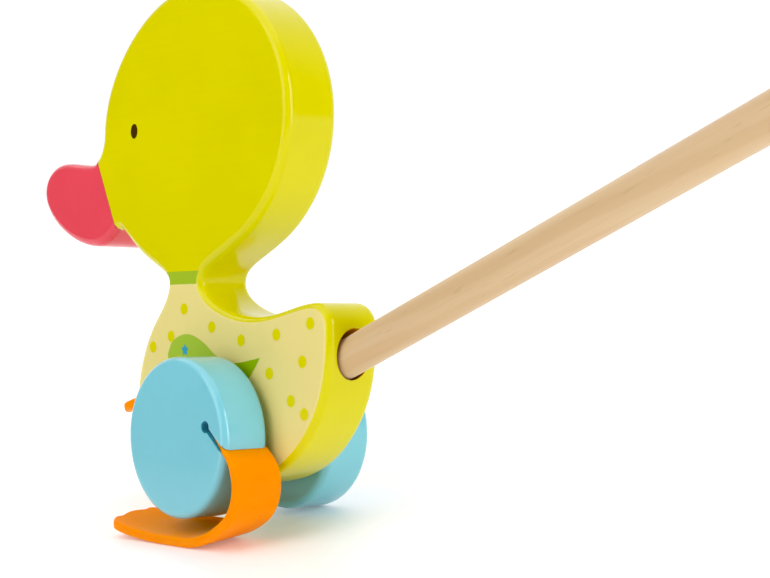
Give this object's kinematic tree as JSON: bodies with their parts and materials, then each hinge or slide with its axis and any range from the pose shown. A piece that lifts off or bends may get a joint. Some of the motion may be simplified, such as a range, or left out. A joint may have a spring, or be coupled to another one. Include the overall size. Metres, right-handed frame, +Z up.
{
  "type": "push-along duck toy",
  "caption": "Wooden push-along duck sawn from thick board, with a glued beak, wheels on a turning axle, rubber feet that flap from the wheel rims, and a plain stick handle.",
  "frame": {"origin": "middle of the bounding box in plan, on the floor that the left foot's sole rests on", "axes": "+X forwards, the way the beak points; +Y to the duck's left; +Z up. The toy stands on its left sole and on the outer edge of its right wheel, so the board leans 8.5 degrees to the duck's right about X and the axle rises by as much towards the left"},
  "size_m": [0.6268, 0.0818, 0.2409],
  "materials": {
    "yellow_paint": "gloss paint on sanded wood",
    "red_paint": "satin paint on sanded wood",
    "blue_paint": "gloss paint on turned wood",
    "beech": "sanded, clear varnish",
    "orange_rubber": "matt moulded rubber",
    "washer_plastic": "plain",
    "zinc_steel": "zinc plated",
    "brass": "machined"
  },
  "bodies": {
    "body": {"body_panel": "yellow_paint", "beak": "red_paint", "upper_beak_dowel": "beech", "lower_beak_dowel": "beech", "handle_rod": "beech", "handle_stud": "zinc_steel", "handle_insert": "brass"},
    "wheelset": {"axle": "beech", "left_wheel": "blue_paint", "right_wheel": "blue_paint", "left_washer": "washer_plastic", "right_washer": "washer_plastic"},
    "left_flap": {"left_foot": "orange_rubber"},
    "right_flap": {"right_foot": "orange_rubber"}
  },
  "joints": [
    {"name": "axle_spin", "type": "hinge", "parent": "body", "child": "wheelset", "pos_m": [0.18502, -0.00075, 0.03455], "axis": [0, 0.9891, 0.1471], "continuous": true},
    {"name": "left_foot_flap", "type": "hinge", "parent": "wheelset", "child": "left_flap", "pos_m": [0.15533, 0.02511, 0.03401], "axis": [0, 0.9891, 0.1471], "range_deg": [-3, 70], "stiffness_Nm_per_rad": 0.08, "deforming": ["left_foot"]},
    {"name": "right_foot_flap", "type": "hinge", "parent": "wheelset", "child": "right_flap", "pos_m": [0.19607, -0.03008, 0.05838], "axis": [0, 0.9891, 0.1471], "range_deg": [-60, 25], "stiffness_Nm_per_rad": 0.08, "deforming": ["right_foot"]}
  ]
}
